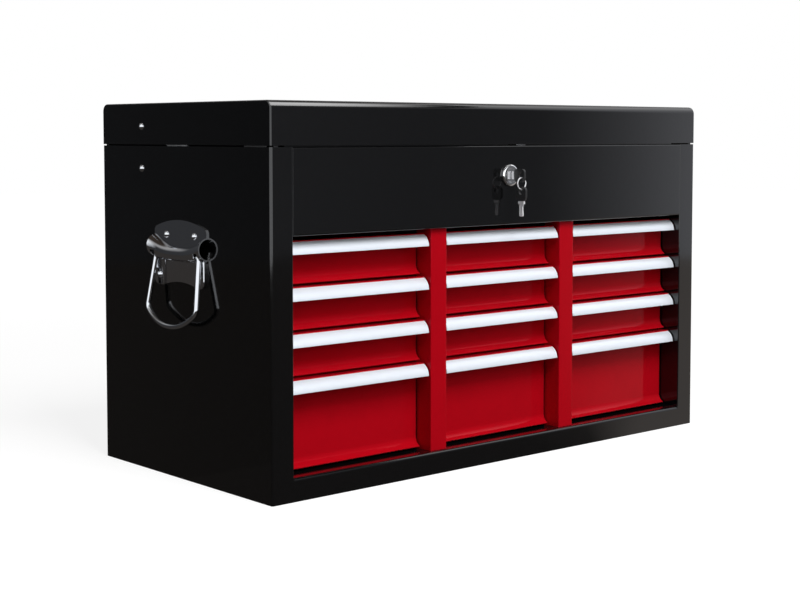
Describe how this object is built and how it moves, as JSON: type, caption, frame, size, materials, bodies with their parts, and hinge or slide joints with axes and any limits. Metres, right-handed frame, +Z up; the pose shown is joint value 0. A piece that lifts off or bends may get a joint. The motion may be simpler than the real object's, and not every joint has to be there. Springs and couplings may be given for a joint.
{
  "type": "portable tool box with drawers",
  "caption": "Folded steel tool chest: hinged lid over a top compartment, columns of shallow and deep drawers with full-width pulls, a keyed cam lock and a drop handle on each side.",
  "frame": {"origin": "centre of the flat underside, which rests on the bench", "axes": "+Z up, -Y towards the front with the drawers, +X to the right seen from the front"},
  "size_m": [0.5908, 0.2961, 0.34],
  "materials": {
    "cabinet_paint": "gloss black enamel",
    "inner_paint": "satin black enamel",
    "drawer_paint": "gloss red enamel",
    "pull_metal": "clear anodised",
    "chrome": "polished",
    "zinc": "zinc plated",
    "key_steel": "nickel plated",
    "key_head": "moulded black"
  },
  "bodies": {
    "root": {"body_shell": "cabinet_paint", "base_pan": "inner_paint", "upper_panel": "cabinet_paint", "compartment_floor": "inner_paint", "liner_left": "inner_paint", "liner_right": "inner_paint", "partition_left": "inner_paint", "partition_right": "inner_paint", "centre_post_left": "drawer_paint", "centre_post_right": "drawer_paint", "runners_left": "zinc", "runners_middle": "zinc", "runners_right": "zinc", "hinge_leaf_body": "zinc", "hinge_pin": "zinc", "stay_body_rivets": "chrome", "lock_housing": "chrome", "lock_nut": "zinc", "handle_plate_left": "chrome", "handle_plate_right": "chrome", "handle_rivets": "chrome"},
    "lid": {"lid_shell": "cabinet_paint", "lid_catch": "zinc", "hinge_leaf_lid": "zinc", "stay_lid_rivets": "chrome"},
    "lock": {"lock_plug": "chrome", "lock_cam": "zinc"},
    "key": {"key_in_lock": "key_head"},
    "ring": {"key_ring": "key_steel"},
    "spare": {"spare_key": "key_steel"},
    "stay_lower_left": {"stay_lower_left": "zinc"},
    "stay_upper_left": {"stay_upper_left": "zinc"},
    "bail_left": {"bail_left": "chrome"},
    "stay_lower_right": {"stay_lower_right": "zinc"},
    "stay_upper_right": {"stay_upper_right": "zinc"},
    "bail_right": {"bail_right": "chrome"},
    "drawer_left_1": {"drawer_left_1_tray": "drawer_paint", "drawer_left_1_pull": "pull_metal"},
    "drawer_left_2": {"drawer_left_2_tray": "drawer_paint", "drawer_left_2_pull": "pull_metal"},
    "drawer_left_3": {"drawer_left_3_tray": "drawer_paint", "drawer_left_3_pull": "pull_metal"},
    "drawer_left_4": {"drawer_left_4_tray": "drawer_paint", "drawer_left_4_pull": "pull_metal"},
    "drawer_middle_1": {"drawer_middle_1_tray": "drawer_paint", "drawer_middle_1_pull": "pull_metal"},
    "drawer_middle_2": {"drawer_middle_2_tray": "drawer_paint", "drawer_middle_2_pull": "pull_metal"},
    "drawer_middle_3": {"drawer_middle_3_tray": "drawer_paint", "drawer_middle_3_pull": "pull_metal"},
    "drawer_middle_4": {"drawer_middle_4_tray": "drawer_paint", "drawer_middle_4_pull": "pull_metal"},
    "drawer_right_1": {"drawer_right_1_tray": "drawer_paint", "drawer_right_1_pull": "pull_metal"},
    "drawer_right_2": {"drawer_right_2_tray": "drawer_paint", "drawer_right_2_pull": "pull_metal"},
    "drawer_right_3": {"drawer_right_3_tray": "drawer_paint", "drawer_right_3_pull": "pull_metal"},
    "drawer_right_4": {"drawer_right_4_tray": "drawer_paint", "drawer_right_4_pull": "pull_metal"}
  },
  "joints": [
    {"name": "lid_hinge", "type": "hinge", "parent": "root", "child": "lid", "pos_m": [0, 0.1358, 0.3014], "axis": [-1, 0, 0], "range_deg": [0, 95]},
    {"name": "key_turn", "type": "hinge", "parent": "root", "child": "lock", "pos_m": [0, -0.135, 0.2727], "axis": [0, 1, 0], "range_deg": [0, 90]},
    {"name": "key_pull", "type": "slide", "parent": "lock", "child": "key", "axis": [0, -1, 0], "range_m": [0, 0.022]},
    {"name": "ring_swing", "type": "hinge", "parent": "key", "child": "ring", "pos_m": [0, -0.1512, 0.2706], "axis": [1, 0, 0], "range_deg": [-60, 15]},
    {"name": "spare_key_swing", "type": "hinge", "parent": "ring", "child": "spare", "pos_m": [0, -0.1512, 0.2598], "axis": [1, 0, 0], "range_deg": [-30, 10]},
    {"name": "stay_lower_left_turn", "type": "hinge", "parent": "root", "child": "stay_lower_left", "pos_m": [-0.278, 0.0654, 0.2799], "axis": [-1, 0, 0], "range_deg": [0, 95]},
    {"name": "stay_upper_left_turn", "type": "hinge", "parent": "lid", "child": "stay_upper_left", "pos_m": [-0.276, 0.0654, 0.3186], "axis": [-1, 0, 0], "range_deg": [-95, 0]},
    {"name": "bail_left_swing", "type": "hinge", "parent": "root", "child": "bail_left", "pos_m": [-0.2842, 0, 0.2038], "axis": [0, 1, 0], "range_deg": [0, 80]},
    {"name": "stay_lower_right_turn", "type": "hinge", "parent": "root", "child": "stay_lower_right", "pos_m": [0.278, 0.0654, 0.2799], "axis": [-1, 0, 0], "range_deg": [0, 95]},
    {"name": "stay_upper_right_turn", "type": "hinge", "parent": "lid", "child": "stay_upper_right", "pos_m": [0.276, 0.0654, 0.3186], "axis": [-1, 0, 0], "range_deg": [-95, 0]},
    {"name": "bail_right_swing", "type": "hinge", "parent": "root", "child": "bail_right", "pos_m": [0.2842, 0, 0.2038], "axis": [0, -1, 0], "range_deg": [0, 80]},
    {"name": "drawer_left_1_slide", "type": "slide", "parent": "root", "child": "drawer_left_1", "axis": [0, -1, 0], "range_m": [0, 0.2]},
    {"name": "drawer_left_2_slide", "type": "slide", "parent": "root", "child": "drawer_left_2", "axis": [0, -1, 0], "range_m": [0, 0.2]},
    {"name": "drawer_left_3_slide", "type": "slide", "parent": "root", "child": "drawer_left_3", "axis": [0, -1, 0], "range_m": [0, 0.2]},
    {"name": "drawer_left_4_slide", "type": "slide", "parent": "root", "child": "drawer_left_4", "axis": [0, -1, 0], "range_m": [0, 0.2]},
    {"name": "drawer_middle_1_slide", "type": "slide", "parent": "root", "child": "drawer_middle_1", "axis": [0, -1, 0], "range_m": [0, 0.2]},
    {"name": "drawer_middle_2_slide", "type": "slide", "parent": "root", "child": "drawer_middle_2", "axis": [0, -1, 0], "range_m": [0, 0.2]},
    {"name": "drawer_middle_3_slide", "type": "slide", "parent": "root", "child": "drawer_middle_3", "axis": [0, -1, 0], "range_m": [0, 0.2]},
    {"name": "drawer_middle_4_slide", "type": "slide", "parent": "root", "child": "drawer_middle_4", "axis": [0, -1, 0], "range_m": [0, 0.2]},
    {"name": "drawer_right_1_slide", "type": "slide", "parent": "root", "child": "drawer_right_1", "axis": [0, -1, 0], "range_m": [0, 0.2]},
    {"name": "drawer_right_2_slide", "type": "slide", "parent": "root", "child": "drawer_right_2", "axis": [0, -1, 0], "range_m": [0, 0.2]},
    {"name": "drawer_right_3_slide", "type": "slide", "parent": "root", "child": "drawer_right_3", "axis": [0, -1, 0], "range_m": [0, 0.2]},
    {"name": "drawer_right_4_slide", "type": "slide", "parent": "root", "child": "drawer_right_4", "axis": [0, -1, 0], "range_m": [0, 0.2]}
  ],
  "couplings": [
    {"joint": "stay_lower_left_turn", "follows": "lid_hinge", "ratio": 1},
    {"joint": "stay_upper_left_turn", "follows": "lid_hinge", "ratio": -1},
    {"joint": "stay_lower_right_turn", "follows": "lid_hinge", "ratio": 1},
    {"joint": "stay_upper_right_turn", "follows": "lid_hinge", "ratio": -1}
  ]
}
